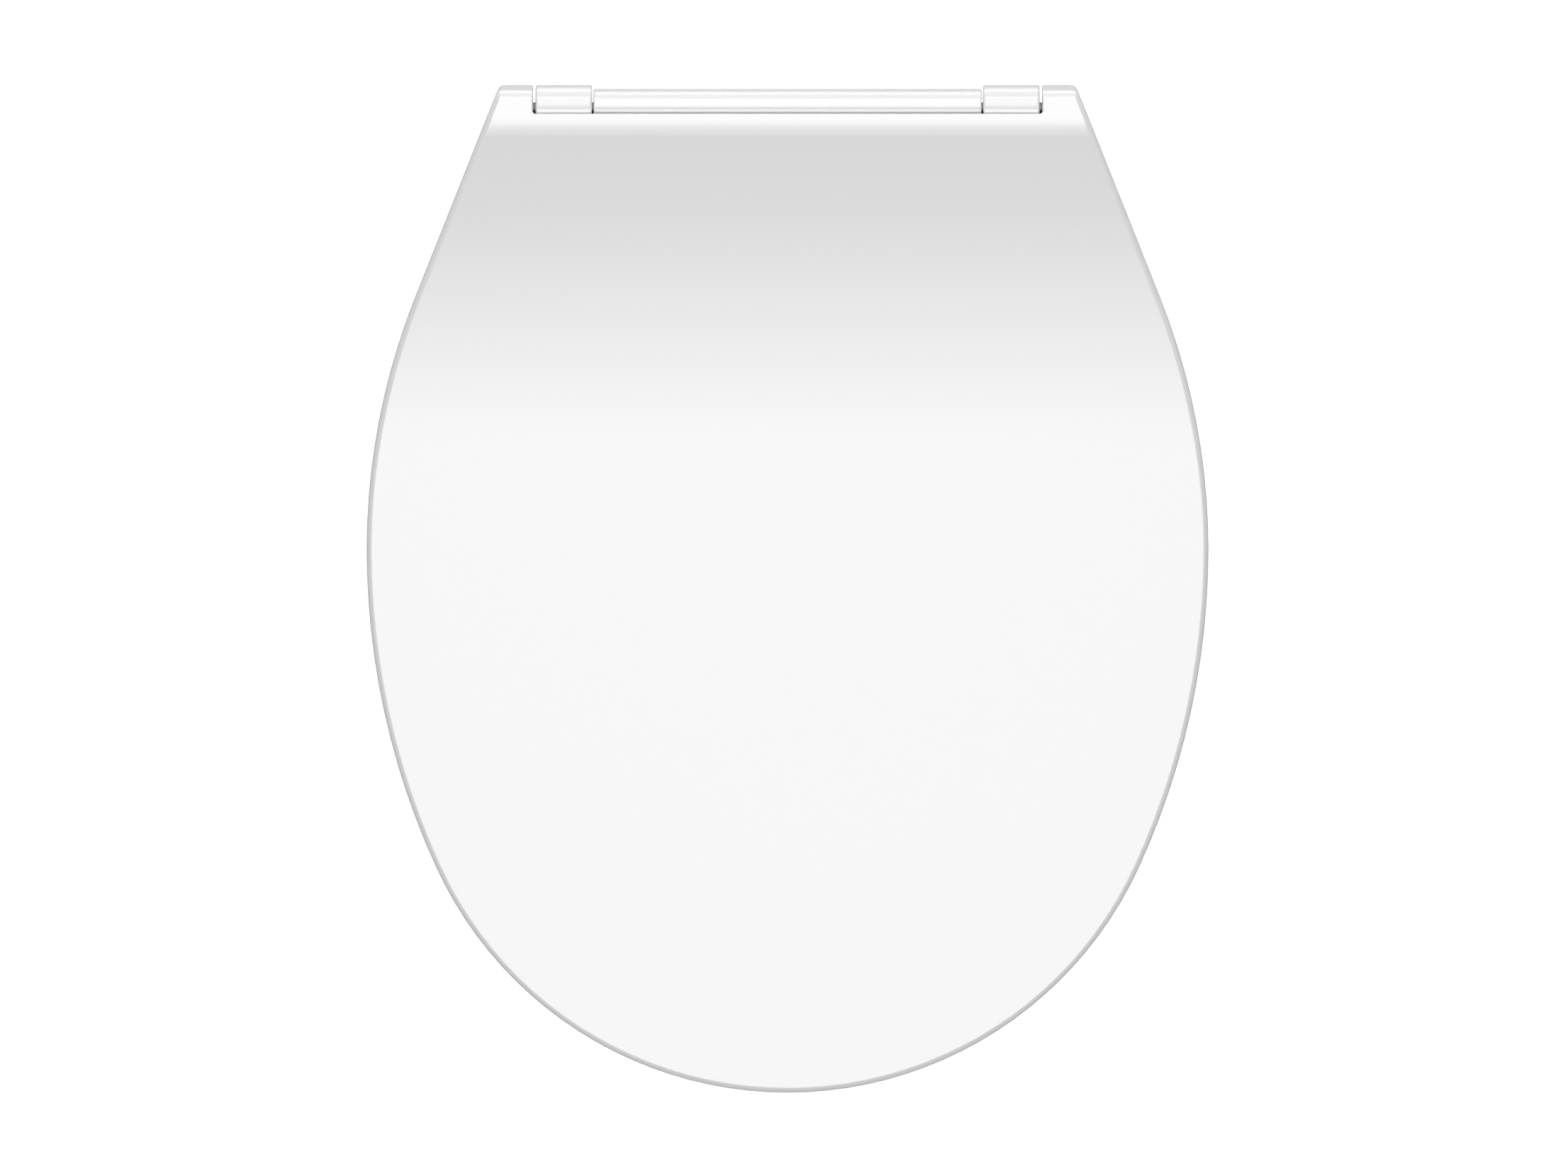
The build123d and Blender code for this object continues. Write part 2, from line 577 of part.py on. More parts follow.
def make_damper_case():
    """Cup of the damper, with the fixed vane that the oil is pressed past."""
    case = along_x(Circle(CASE_RADIUS), CASE_IN_X, CASE_OUT_X)
    case -= along_x(Circle(CHAMBER_RADIUS), CASE_IN_X, CASE_OUT_X - CASE_END)
    inside = CASE_OUT_X - CASE_END
    root = CHAMBER_RADIUS + CASE_WALL / 2
    stator = spoke(STATOR_WIDTH, ROTOR_HUB_RADIUS + VANE_CLEARANCE, root, STATOR_ANGLE)
    case += along_x(stator, CASE_IN_X + COVER_THICKNESS + FIT_CLEARANCE, inside)
    case -= along_x(Circle(SEAL_SEAT_RADIUS), inside, inside + SEAL_SEAT_DEPTH)
    return case - along_x(Circle(PIN_HOLE_RADIUS), CASE_IN_X, CASE_OUT_X)


def make_damper_cover():
    """Disc that closes the damper's case at its inner end."""
    cover = along_x(Circle(CHAMBER_RADIUS - FIT_CLEARANCE), CASE_IN_X, CASE_IN_X + COVER_THICKNESS)
    inside = CASE_IN_X + COVER_THICKNESS
    cover -= along_x(Circle(SEAL_SEAT_RADIUS), inside - SEAL_SEAT_DEPTH, inside)
    return cover - along_x(Circle(PIN_HOLE_RADIUS), CASE_IN_X, inside)


def make_damper_seals():
    """Ring seal at each end of the rotor, round the pin."""
    section = Pos(0, PIN_RADIUS + FIT_CLEARANCE + SEAL_SECTION / 2) * Circle(SEAL_SECTION / 2)
    section = Plane(origin=(0, AXIS_Y, AXIS_Z), x_dir=(1, 0, 0), z_dir=(0, -1, 0)) * section
    ring = revolve(section, Axis((0, AXIS_Y, AXIS_Z), (1, 0, 0)), 360)
    seat_middle = SEAL_SEAT_DEPTH / 2
    inner_x = CASE_IN_X + COVER_THICKNESS - seat_middle
    outer_x = CASE_OUT_X - CASE_END + seat_middle
    return [Pos(x, 0, 0) * ring for x in (inner_x, outer_x)]


def make_damper_rotor():
    """Hub with one vane, which leaves room for the whole swing of lid and seat together."""
    tip = CHAMBER_RADIUS - VANE_CLEARANCE
    section = Circle(ROTOR_HUB_RADIUS) + spoke(VANE_WIDTH, PIN_RADIUS, tip, STATOR_ANGLE - VANE_LEAD)
    section -= flatted_circle(PIN_RADIUS + KEY_CLEARANCE, PIN_FLATS + 2 * KEY_CLEARANCE)
    return along_x(section, ROTOR_IN_X, ROTOR_OUT_X)


def make_pin(keyed_in_ear):
    """Right-hand hinge pin, with flats at the rotor and at the end that drives it."""
    inner = BAR_X - PIN_IN_BAR
    outer = EAR_X + PIN_IN_EAR
    pin = along_x(Circle(PIN_RADIUS), inner, outer)
    pin = chamfer(pin.edges(), PIN_CHAMFER)
    off_flats = Circle(PIN_RADIUS) - Rectangle(2 * PIN_RADIUS, PIN_FLATS)
    pin -= along_x(off_flats, ROTOR_IN_X, ROTOR_OUT_X)
    if keyed_in_ear:
        return pin - along_x(off_flats, EAR_X, outer)
    return pin - along_x(off_flats, inner, BAR_X)


def make_slider():
    """Release slider: its hole's front edge grips the post's neck, its rear end is the push button."""
    plan = Pos(HINGE_X, (SLIDER_FRONT_Y + SLIDER_REAR_Y) / 2)
    plan *= RectangleRounded(SLIDER_WIDTH, SLIDER_REAR_Y - SLIDER_FRONT_Y, SLIDER_CORNER)
    plan -= Pos(HINGE_X, POST_Y + RELEASE_TRAVEL) * Circle(SLIDER_HOLE_RADIUS)
    return upright(plan, SLIDER_BOTTOM, SLIDER_TOP)


def make_spring():
    """Coil spring between the foot's front wall and the slider."""
    height = SPRING_LENGTH - SPRING_WIRE - 2 * SPRING_END_GAP
    start = CHANNEL_FRONT_Y + SPRING_WIRE / 2 + SPRING_END_GAP
    middle = (HINGE_X, start, (SLIDER_BOTTOM + SLIDER_TOP) / 2)
    coil = Helix(height / SPRING_TURNS, height, SPRING_RADIUS, center=middle, direction=(0, 1, 0))
    wire = Plane(origin=coil @ 0, z_dir=coil % 0) * Circle(SPRING_WIRE / 2)
    return sweep(wire, path=coil, is_frenet=True)


def make_post():
    """Turned post that the hinge drops over, riveted into the base plate."""
    neck_top = SLIDER_TOP + SLIDER_CLEARANCE
    top = neck_top + POST_HEAD
    place = Pos(HINGE_X, POST_Y)
    spigot = upright(place * Circle(POST_SPIGOT_RADIUS), GASKET_THICKNESS, PLATE_TOP)
    neck = upright(place * Circle(POST_NECK_RADIUS), PLATE_TOP, neck_top)
    head = upright(place * Circle(POST_RADIUS), neck_top, top)
    head = chamfer(head.edges().sort_by(Axis.Z)[-1], POST_CHAMFER)
    return spigot + neck + head


def plate_direction():
    """Degrees in plan from the fixing bolt to the post."""
    return math.degrees(math.atan2(POST_Y, HINGE_X - BOLT_X))


def at_bolt():
    return Pos(BOLT_X, 0) * Rot(0, 0, plate_direction())


def plate_plan(clearance):
    """Base plate from above: round about the post, long enough for the slot about the bolt."""
    reach = math.hypot(HINGE_X - BOLT_X, POST_Y)
    length = reach + SLOT_TRAVEL / 2
    slab = Pos((reach - SLOT_TRAVEL / 2) / 2, 0) * SlotCenterToCenter(length, 2 * PLATE_RADIUS)
    slot = SlotCenterToCenter(SLOT_TRAVEL, BOLT_NECK + 2 * clearance)
    return at_bolt() * (slab - slot)


def make_base_plate():
    plate = upright(plate_plan(BOLT_CLEARANCE), GASKET_THICKNESS, PLATE_TOP)
    plate = fillet(plate.faces().sort_by(Axis.Z)[-1].outer_wire().edges(), PLATE_EDGE)
    track = at_bolt() * SlotCenterToCenter(SLOT_TRAVEL, 2 * (BOLT_HEAD_RADIUS + BOLT_CLEARANCE))
    plate -= upright(track, PLATE_TOP - BOLT_HEAD_SINK, PLATE_TOP)
    return plate - upright(Pos(HINGE_X, POST_Y) * Circle(POST_SPIGOT_RADIUS + FIT_CLEARANCE), 0, PLATE_TOP)


def make_gasket():
    return upright(plate_plan(BOLT_CLEARANCE), 0, GASKET_THICKNESS)


def make_bolt():
    """Right-hand fixing bolt: low head, square neck in the slot, plain shank, thread below the bowl."""
    seat = PLATE_TOP - BOLT_HEAD_SINK
    head = upright(Pos(BOLT_X, 0) * Circle(BOLT_HEAD_RADIUS), seat, seat + BOLT_HEAD_HEIGHT)
    head = fillet(head.edges().sort_by(Axis.Z)[-1], BOLT_HEAD_EDGE)
    neck = upright(at_bolt() * Rectangle(BOLT_NECK, BOLT_NECK), 0, seat)
    shank = upright(Pos(BOLT_X, 0) * Circle(BOLT_RADIUS), -LEDGE_THICKNESS, 0)
    thread = upright(Pos(BOLT_X, 0) * Circle(BOLT_THREAD_RADIUS), -BOLT_LENGTH, -LEDGE_THICKNESS)
    thread = chamfer(thread.edges().sort_by(Axis.Z)[0], PIN_CHAMFER)
    return head + neck + shank + thread


def make_washer():
    ring = Circle(WASHER_RADIUS) - Circle(BOLT_THREAD_RADIUS + BOLT_CLEARANCE)
    top = -LEDGE_THICKNESS - SEAT_GAP
    return upright(Pos(BOLT_X, 0) * ring, top - WASHER_THICKNESS, top)


def make_wing_nut():
    top = -LEDGE_THICKNESS - SEAT_GAP - WASHER_THICKNESS
    flange = upright(Circle(NUT_FLANGE_RADIUS), top - NUT_FLANGE, top)
    hub = upright(Circle(NUT_HUB_RADIUS), top - NUT_FLANGE - NUT_HUB, top)
    wings = block(-NUT_WING_SPAN / 2, NUT_WING_SPAN / 2, -NUT_WING_WIDTH / 2, NUT_WING_WIDTH / 2,
                  top - NUT_FLANGE - NUT_WING_HEIGHT, top - NUT_FLANGE)
    wings = fillet(wings.edges().filter_by(Axis.Y), NUT_WING_CORNER)
    nut = flange + hub + wings
    nut -= upright(Circle(BOLT_THREAD_RADIUS + FIT_CLEARANCE), top - NUT_FLANGE - NUT_WING_HEIGHT, top)
    return Pos(BOLT_X, 0) * nut


def both_sides(name, right):
    return {f"{name}_right": right, f"{name}_left": left_copy(right)}


def pair(right):
    return [right, left_copy(right)]


def make_nodes():
    ear_bush = PIN_IN_EAR + BUSH_WALL_BEHIND
    bar_bush = PIN_IN_BAR + BUSH_WALL_BEHIND
    seals = Compound(children=make_damper_seals())
    nodes = {
        "lid": make_lid(),
        "lid_buffers": make_lid_buffers(),
        "lid_bush_right": make_bush(False, EAR_X, ear_bush),
        "lid_bush_left": left_copy(make_bush(True, EAR_X, ear_bush)),
        "seat_ring": make_seat_ring(),
        "seat_buffers": make_seat_buffers(),
        "seat_bush_right": make_bush(True, BAR_X - bar_bush, bar_bush),
        "seat_bush_left": left_copy(make_bush(False, BAR_X - bar_bush, bar_bush)),
        "hinge_pin_right": make_pin(False),
        "hinge_pin_left": left_copy(make_pin(True)),
        "damper_seals_right": seals,
        "damper_seals_left": left_copy(seals),
        "fixing_bolts": pair(make_bolt()),
        "fixing_washers": pair(make_washer()),
        "wing_nuts": pair(make_wing_nut()),
    }
    nodes |= both_sides("hinge_housing", make_housing())
    nodes |= both_sides("hinge_cap", make_cap())
    nodes |= both_sides("damper_case", make_damper_case())
    nodes |= both_sides("damper_cover", make_damper_cover())
    nodes |= both_sides("damper_rotor", make_damper_rotor())
    nodes |= both_sides("release_slider", make_slider())
    nodes |= both_sides("release_spring", make_spring())
    nodes |= both_sides("mounting_post", make_post())
    nodes |= both_sides("base_plate", make_base_plate())
    nodes |= both_sides("base_gasket", make_gasket())
    return nodes


os.makedirs("parts", exist_ok=True)
for name, shape in make_nodes().items():
    solid = Compound(children=shape) if isinstance(shape, list) else shape
    export_step(solid, f"parts/{name}.step")
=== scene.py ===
import bmesh
import bpy
import json
import math
from mathutils import Matrix, Vector


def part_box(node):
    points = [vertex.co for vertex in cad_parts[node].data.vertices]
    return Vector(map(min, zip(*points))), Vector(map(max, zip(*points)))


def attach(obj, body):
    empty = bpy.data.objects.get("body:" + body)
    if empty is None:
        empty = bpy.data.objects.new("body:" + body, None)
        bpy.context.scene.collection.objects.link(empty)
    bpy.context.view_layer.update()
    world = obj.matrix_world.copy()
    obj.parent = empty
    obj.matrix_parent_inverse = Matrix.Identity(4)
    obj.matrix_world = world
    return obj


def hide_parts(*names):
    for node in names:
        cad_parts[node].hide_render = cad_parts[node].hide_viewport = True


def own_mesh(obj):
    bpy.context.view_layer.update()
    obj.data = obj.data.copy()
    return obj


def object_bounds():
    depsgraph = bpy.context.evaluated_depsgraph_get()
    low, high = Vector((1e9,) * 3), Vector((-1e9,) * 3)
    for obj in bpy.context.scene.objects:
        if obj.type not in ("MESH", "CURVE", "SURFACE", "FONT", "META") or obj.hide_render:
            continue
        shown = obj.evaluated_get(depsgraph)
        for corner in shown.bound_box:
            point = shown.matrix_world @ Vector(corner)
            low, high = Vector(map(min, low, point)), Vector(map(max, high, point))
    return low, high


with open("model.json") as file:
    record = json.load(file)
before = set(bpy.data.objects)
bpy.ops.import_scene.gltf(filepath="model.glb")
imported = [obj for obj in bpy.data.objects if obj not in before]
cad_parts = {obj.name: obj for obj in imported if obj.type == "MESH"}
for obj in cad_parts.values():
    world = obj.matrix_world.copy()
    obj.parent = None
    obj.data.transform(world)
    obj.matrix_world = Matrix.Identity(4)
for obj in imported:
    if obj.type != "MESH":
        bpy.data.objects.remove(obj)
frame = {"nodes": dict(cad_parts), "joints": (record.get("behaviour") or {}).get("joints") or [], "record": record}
cad_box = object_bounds()

scene = bpy.context.scene
scene.view_settings.view_transform = "Standard"

# Camera straight above the lid: what its picture takes in, in metres, and its sensor, in millimetres
PICTURE_WIDTH = 0.6889
PICTURE_MIDDLE = (-0.00156, -0.1856)
CAMERA_ABOVE_LID = 12.0
CAMERA_SEES_TO = 50.0
SENSOR_WIDTH = 36.0

# Floor, room and the card round the seat: sizes in metres, light as a share of white
FLOOR_BELOW_BOLTS = 0.0005
FLOOR_SIZE = 9.0
FLOOR_WHITE = 0.8
FLOOR_GLOW = 0.72
ROOM_LIGHT = 0.225
CARD_REACH = 0.5
CARD_FADE = 0.2

# Lamps: places and sizes in metres, lean in degrees
OVERHEAD_ABOVE_LID = 2.2
OVERHEAD_WIDTH = 2.7
OVERHEAD_DEPTH = 1.563
OVERHEAD_REAR_EDGE = 0.0085
OVERHEAD_SIDE_FADE = 0.8
SKIRT_DEPTH = 0.04
REAR_LAMP_WIDTH = 0.88
REAR_LAMP_SIDE_FADE = 0.3
REAR_LAMP_LEAN = 34.5
REAR_LAMP_DISTANCE = 2.0
REAR_LAMP_AIM_ABOVE_HINGE = 0.006
BACK_PANEL_BEHIND = 2.0
BACK_PANEL_HEIGHT = 1.4
BACK_PANEL_FOOT = -0.02
LIT_FLOOR_FRONT = 0.14
LIT_FLOOR_DEPTH = 1.81
LIT_FLOOR_ABOVE_BOLTS = 0.002

# Thread on the fixing bolts, below the wing nuts, metres
THREAD_PITCH = 0.001
THREAD_RADIUS = 0.00262
THREAD_DEPTH = 0.00036
THREAD_END = 0.0007
THREAD_POINTS_PER_TURN = 32
THREAD_CORNERS = 4
BOLT_COUNT = 2
BOLT_SPACING = 0.155

# Corners nearer than this are one corner, metres
MERGE_DISTANCE = 1e-6

# A warm tone loses some of its blue, and this share of that from its green
WARM_GREEN = 0.3

WHITE = (1, 1, 1, 1)
LACQUER = {"IOR": 1.5, "Coat Weight": 1.0, "Coat Roughness": 0.015, "Coat IOR": 1.5}

lid_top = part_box("lid")[1].z
hinge_axis = next(Vector(joint["pos_m"]) for joint in frame["joints"] if joint["name"] == "lid_hinge")


def new_tree(owner):
    """An empty node tree for a material or the world."""
    owner.use_nodes = True
    owner.node_tree.nodes.clear()
    return owner.node_tree


def add(tree, kind, **settings):
    """A node of that kind. Settings that name an input set its value, the others are the node's own."""
    node = tree.nodes.new(kind)
    for name, value in settings.items():
        if name in node.inputs:
            node.inputs[name].default_value = value
        else:
            setattr(node, name, value)
    return node


def join(tree, *pairs):
    """Links each (output socket, input socket) pair."""
    for out, into in pairs:
        tree.links.new(out, into)


def calculate(tree, operation, *values):
    """What a Math node makes of those values, each of them a socket or a number."""
    node = add(tree, "ShaderNodeMath", operation=operation)
    for value, into in zip(values, node.inputs):
        if isinstance(value, bpy.types.NodeSocket):
            tree.links.new(value, into)
        else:
            into.default_value = value
    return node.outputs[0]


def ramp(tree, value, start, end, low=0.0, high=1.0, **settings):
    """A node that goes from low to high as value goes from start to end."""
    node = add(tree, "ShaderNodeMapRange", **settings)
    levels = {"From Min": start, "From Max": end, "To Min": low, "To Max": high}
    for socket, level in levels.items():
        node.inputs[socket].default_value = level
    tree.links.new(value, node.inputs["Value"])
    return node


def fading_edge(tree, along, half, fade):
    """1 about the middle, going down to 0 at half, over the length fade."""
    from_middle = calculate(tree, "ABSOLUTE", along)
    return ramp(tree, from_middle, half, half - fade, interpolation_type="SMOOTHSTEP").outputs[0]


def own_place(tree):
    """Where a point lies on its own sheet, by axis."""
    spot = add(tree, "ShaderNodeTexCoord")
    along = add(tree, "ShaderNodeSeparateXYZ")
    join(tree, (spot.outputs["Object"], along.inputs[0]))
    return along.outputs


def seen_directly(tree):
    """1 for what the camera, a gloss or glass sees straight away, 0 for light that falls on something."""
    path = add(tree, "ShaderNodeLightPath").outputs
    glossy = calculate(tree, "MAXIMUM", path["Is Camera Ray"], path["Is Glossy Ray"])
    return calculate(tree, "MAXIMUM", glossy, path["Is Transmission Ray"])


def matt_white(tree):
    """The matt white of the floor and of the card."""
    return add(tree, "ShaderNodeBsdfDiffuse", Color=(FLOOR_WHITE, FLOOR_WHITE, FLOOR_WHITE, 1))


def flat_sheet(name, width, depth, place, material):
    """A flat sheet about its own middle, put in its place. It is part of the studio."""
    w, d = width / 2, depth / 2
    mesh = bpy.data.meshes.new(name)
    mesh.from_pydata([(-w, -d, 0), (w, -d, 0), (w, d, 0), (-w, d, 0)], [], [(0, 1, 2, 3)])
    mesh.materials.append(material)
    sheet = bpy.data.objects.new(name, mesh)
    scene.collection.objects.link(sheet)
    sheet.matrix_world = place
    return sheet


def studio_floor():
    """White floor that stays white to the eye and still takes the seat's shadow. Clear from below."""
    material = bpy.data.materials.new("white floor")
    tree = new_tree(material)
    matt = matt_white(tree)
    glow = add(tree, "ShaderNodeEmission", Color=WHITE)
    both = add(tree, "ShaderNodeAddShader")
    clear = add(tree, "ShaderNodeBsdfTransparent")
    side = add(tree, "ShaderNodeNewGeometry")
    from_above = add(tree, "ShaderNodeMixShader")
    out = add(tree, "ShaderNodeOutputMaterial")
    join(
        tree,
        (calculate(tree, "MULTIPLY", seen_directly(tree), FLOOR_GLOW), glow.inputs["Strength"]),
        (matt.outputs[0], both.inputs[0]),
        (glow.outputs[0], both.inputs[1]),
        (side.outputs["Backfacing"], from_above.inputs["Fac"]),
        (both.outputs[0], from_above.inputs[1]),
        (clear.outputs[0], from_above.inputs[2]),
        (from_above.outputs[0], out.inputs["Surface"]),
    )
    level = cad_box[0].z - FLOOR_BELOW_BOLTS
    flat_sheet("floor", FLOOR_SIZE, FLOOR_SIZE, Matrix.Translation((0, 0, level)), material)


def matt_card():
    """Matt card that lies round the seat and shows in reflections alone.

    The seat's glossy edges mirror it, so that they stand out from the white floor. Its border fades out.
    """
    low, high = cad_box
    width = high.x - low.x + 2 * CARD_REACH
    depth = high.y - low.y + 2 * CARD_REACH
    material = bpy.data.materials.new("matt card")
    tree = new_tree(material)
    along = own_place(tree)
    across = fading_edge(tree, along["X"], width / 2, CARD_FADE)
    lengthways = fading_edge(tree, along["Y"], depth / 2, CARD_FADE)
    clear = add(tree, "ShaderNodeBsdfTransparent")
    matt = matt_white(tree)
    card = add(tree, "ShaderNodeMixShader")
    out = add(tree, "ShaderNodeOutputMaterial")
    join(
        tree,
        (calculate(tree, "MULTIPLY", across, lengthways), card.inputs["Fac"]),
        (clear.outputs[0], card.inputs[1]),
        (matt.outputs[0], card.inputs[2]),
        (card.outputs[0], out.inputs["Surface"]),
    )
    place = Matrix.Translation(((low.x + high.x) / 2, (low.y + high.y) / 2, low.z - FLOOR_BELOW_BOLTS / 2))
    sheet = flat_sheet("matt card", width, depth, place, material)
    sheet.visible_camera = False
    sheet.visible_diffuse = False
    sheet.visible_shadow = False


def studio_room():
    """Low even light all round, and white where it is seen directly."""
    world = bpy.data.worlds.new("studio room")
    scene.world = world
    tree = new_tree(world)
    level = ramp(tree, seen_directly(tree), 0.0, 1.0, low=ROOM_LIGHT, high=1.0)
    light = add(tree, "ShaderNodeBackground", Color=WHITE)
    out = add(tree, "ShaderNodeOutputWorld")
    join(
        tree,
        (level.outputs[0], light.inputs["Strength"]),
        (light.outputs[0], out.inputs["Surface"]),
    )


def softbox(name, place, width, depth, strength, side_fade, front_fade, rear_fade, rear_edge=0.0):
    """A lit sheet that casts no shadow. Its light fades over those lengths, at its sides and its ends.

    The ends lie along its own Y. At the sides and the front end it fades to nothing, and at the rear end
    to the share rear_edge of its strength.
    """
    material = bpy.data.materials.new(name)
    tree = new_tree(material)
    along = own_place(tree)
    front_end, rear_end = -depth / 2, depth / 2
    front = ramp(tree, along["Y"], front_end, front_end + front_fade)
    rear = ramp(tree, along["Y"], rear_end, rear_end - rear_fade, low=strength * rear_edge, high=strength)
    ends = calculate(tree, "MULTIPLY", front.outputs[0], rear.outputs[0])
    sides = fading_edge(tree, along["X"], width / 2, side_fade)
    light = add(tree, "ShaderNodeEmission", Color=WHITE)
    clear = add(tree, "ShaderNodeBsdfTransparent")
    sheer = add(tree, "ShaderNodeAddShader")
    out = add(tree, "ShaderNodeOutputMaterial")
    join(
        tree,
        (calculate(tree, "MULTIPLY", ends, sides), light.inputs["Strength"]),
        (light.outputs[0], sheer.inputs[0]),
        (clear.outputs[0], sheer.inputs[1]),
        (sheer.outputs[0], out.inputs["Surface"]),
    )
    flat_sheet(name, width, depth, place, material).visible_camera = False


def overhead(y):
    """Place over the lid, facing down."""
    return Matrix.Translation((0, y, lid_top + OVERHEAD_ABOVE_LID))


def behind_and_above(lean, distance):
    """Place that faces the hinge row from the rear, leaning back from overhead by lean."""
    turn = math.radians(lean)
    aim = hinge_axis + Vector((0, 0, REAR_LAMP_AIM_ABOVE_HINGE))
    away = Vector((0, math.sin(turn), math.cos(turn))) * distance
    return Matrix.Translation(aim + away) @ Matrix.Rotation(-turn, 4, "X")


def studio_lights():
    """Light from overhead, which the lid's rear slope mirrors in part, and lamps behind the hinge row."""
    softbox(
        "overhead softbox",
        overhead(OVERHEAD_REAR_EDGE - OVERHEAD_DEPTH / 2),
        width=OVERHEAD_WIDTH,
        depth=OVERHEAD_DEPTH,
        strength=3.3,
        side_fade=OVERHEAD_SIDE_FADE,
        front_fade=0.6,
        rear_fade=0.112,
        rear_edge=0.12,
    )
    softbox(
        "overhead softbox skirt",
        overhead(OVERHEAD_REAR_EDGE + SKIRT_DEPTH / 2),
        width=OVERHEAD_WIDTH,
        depth=SKIRT_DEPTH,
        strength=0.4,
        side_fade=OVERHEAD_SIDE_FADE,
        front_fade=0.001,
        rear_fade=SKIRT_DEPTH,
    )
    softbox(
        "rear softbox",
        behind_and_above(REAR_LAMP_LEAN, REAR_LAMP_DISTANCE),
        width=REAR_LAMP_WIDTH,
        depth=2.3,
        strength=3.6,
        side_fade=REAR_LAMP_SIDE_FADE,
        front_fade=0.72,
        rear_fade=0.3,
    )
    panel = Matrix.Translation((0, BACK_PANEL_BEHIND, BACK_PANEL_FOOT + BACK_PANEL_HEIGHT / 2))
    softbox(
        "back panel",
        panel @ Matrix.Rotation(-math.pi / 2, 4, "X"),
        width=REAR_LAMP_WIDTH,
        depth=BACK_PANEL_HEIGHT,
        strength=1.4,
        side_fade=REAR_LAMP_SIDE_FADE,
        front_fade=0.1,
        rear_fade=0.1,
    )
    lit_level = cad_box[0].z + LIT_FLOOR_ABOVE_BOLTS
    softbox(
        "lit floor behind",
        Matrix.Translation((0, LIT_FLOOR_FRONT + LIT_FLOOR_DEPTH / 2, lit_level)),
        width=1.0,
        depth=LIT_FLOOR_DEPTH,
        strength=1.35,
        side_fade=REAR_LAMP_SIDE_FADE,
        front_fade=0.2,
        rear_fade=0.12,
    )


def studio_camera():
    """Camera so far above the lid that the seat's upright sides hardly show."""
    data = bpy.data.cameras.new("camera above the lid")
    data.sensor_fit = "HORIZONTAL"
    data.sensor_width = SENSOR_WIDTH
    data.lens = SENSOR_WIDTH * CAMERA_ABOVE_LID / PICTURE_WIDTH
    data.clip_end = CAMERA_SEES_TO
    camera = bpy.data.objects.new("camera above the lid", data)
    scene.collection.objects.link(camera)
    camera.location = (*PICTURE_MIDDLE, lid_top + CAMERA_ABOVE_LID)
    scene.camera = camera


SKIN_INPUTS = [
    ("Vector", "NodeSocketVector", None),
    ("Ripple Scale", "NodeSocketFloat", 500.0),
    ("Cloud Scale", "NodeSocketFloat", 12.0),
    ("Gloss Roughness", "NodeSocketFloat", 0.1),
    ("Dull Roughness", "NodeSocketFloat", 0.2),
    ("Tone", "NodeSocketColor", (0.8, 0.8, 0.8, 1)),
    ("Other Tone", "NodeSocketColor", (0.8, 0.8, 0.8, 1)),
]
STEEL_INPUTS = [socket for socket in SKIN_INPUTS if not socket[0].endswith("Scale")]
SKIN_OUTPUTS = [
    ("Color", "NodeSocketColor"),
    ("Roughness", "NodeSocketFloat"),
    ("Height", "NodeSocketFloat"),
]


def skin_group(name, inputs):
    """A shader node group with those inputs and a skin's outputs. Returns its tree and both end nodes."""
    tree = bpy.data.node_groups.new(name, "ShaderNodeTree")
    for socket, kind, value in inputs:
        made = tree.interface.new_socket(name=socket, in_out="INPUT", socket_type=kind)
        if value is not None:
            made.default_value = value
    for socket, kind in SKIN_OUTPUTS:
        tree.interface.new_socket(name=socket, in_out="OUTPUT", socket_type=kind)
    return tree, tree.nodes.new("NodeGroupInput"), tree.nodes.new("NodeGroupOutput")


def finish_skin(tree, given, result, patches, height, start, end):
    """Tone follows the patches, gloss follows them from start to end, and the bumps follow height."""
    gloss = ramp(tree, patches, start, end)
    tone = add(tree, "ShaderNodeMix", data_type="RGBA")
    join(
        tree,
        (given.outputs["Gloss Roughness"], gloss.inputs["To Min"]),
        (given.outputs["Dull Roughness"], gloss.inputs["To Max"]),
        (patches, tone.inputs["Factor"]),
        (given.outputs["Tone"], tone.inputs["A"]),
        (given.outputs["Other Tone"], tone.inputs["B"]),
        (tone.outputs["Result"], result.inputs["Color"]),
        (gloss.outputs[0], result.inputs["Roughness"]),
        (height, result.inputs["Height"]),
    )


def moulded_skin():
    """Skin of a moulding: faint ripples from the tool, and cloudy patches of gloss and tone."""
    tree, given, result = skin_group("moulded skin", SKIN_INPUTS)
    ripple = add(tree, "ShaderNodeTexNoise", Detail=2.0, Roughness=0.45)
    cloud = add(tree, "ShaderNodeTexNoise", Detail=4.0, Roughness=0.55)
    join(
        tree,
        (given.outputs["Vector"], ripple.inputs["Vector"]),
        (given.outputs["Ripple Scale"], ripple.inputs["Scale"]),
        (given.outputs["Vector"], cloud.inputs["Vector"]),
        (given.outputs["Cloud Scale"], cloud.inputs["Scale"]),
    )
    patches, height = cloud.outputs["Fac"], ripple.outputs["Fac"]
    finish_skin(tree, given, result, patches, height, start=0.3, end=0.7)
    return tree


def machined_steel():
    """Fine lines left by a tool or a belt, on a vector that is already stretched along them."""
    tree, given, result = skin_group("machined steel", STEEL_INPUTS)
    lines = add(tree, "ShaderNodeTexNoise", Scale=1.0, Detail=5.0, Roughness=0.6)
    join(tree, (given.outputs["Vector"], lines.inputs["Vector"]))
    patches = height = lines.outputs["Fac"]
    finish_skin(tree, given, result, patches, height, start=0.3, end=0.7)
    return tree


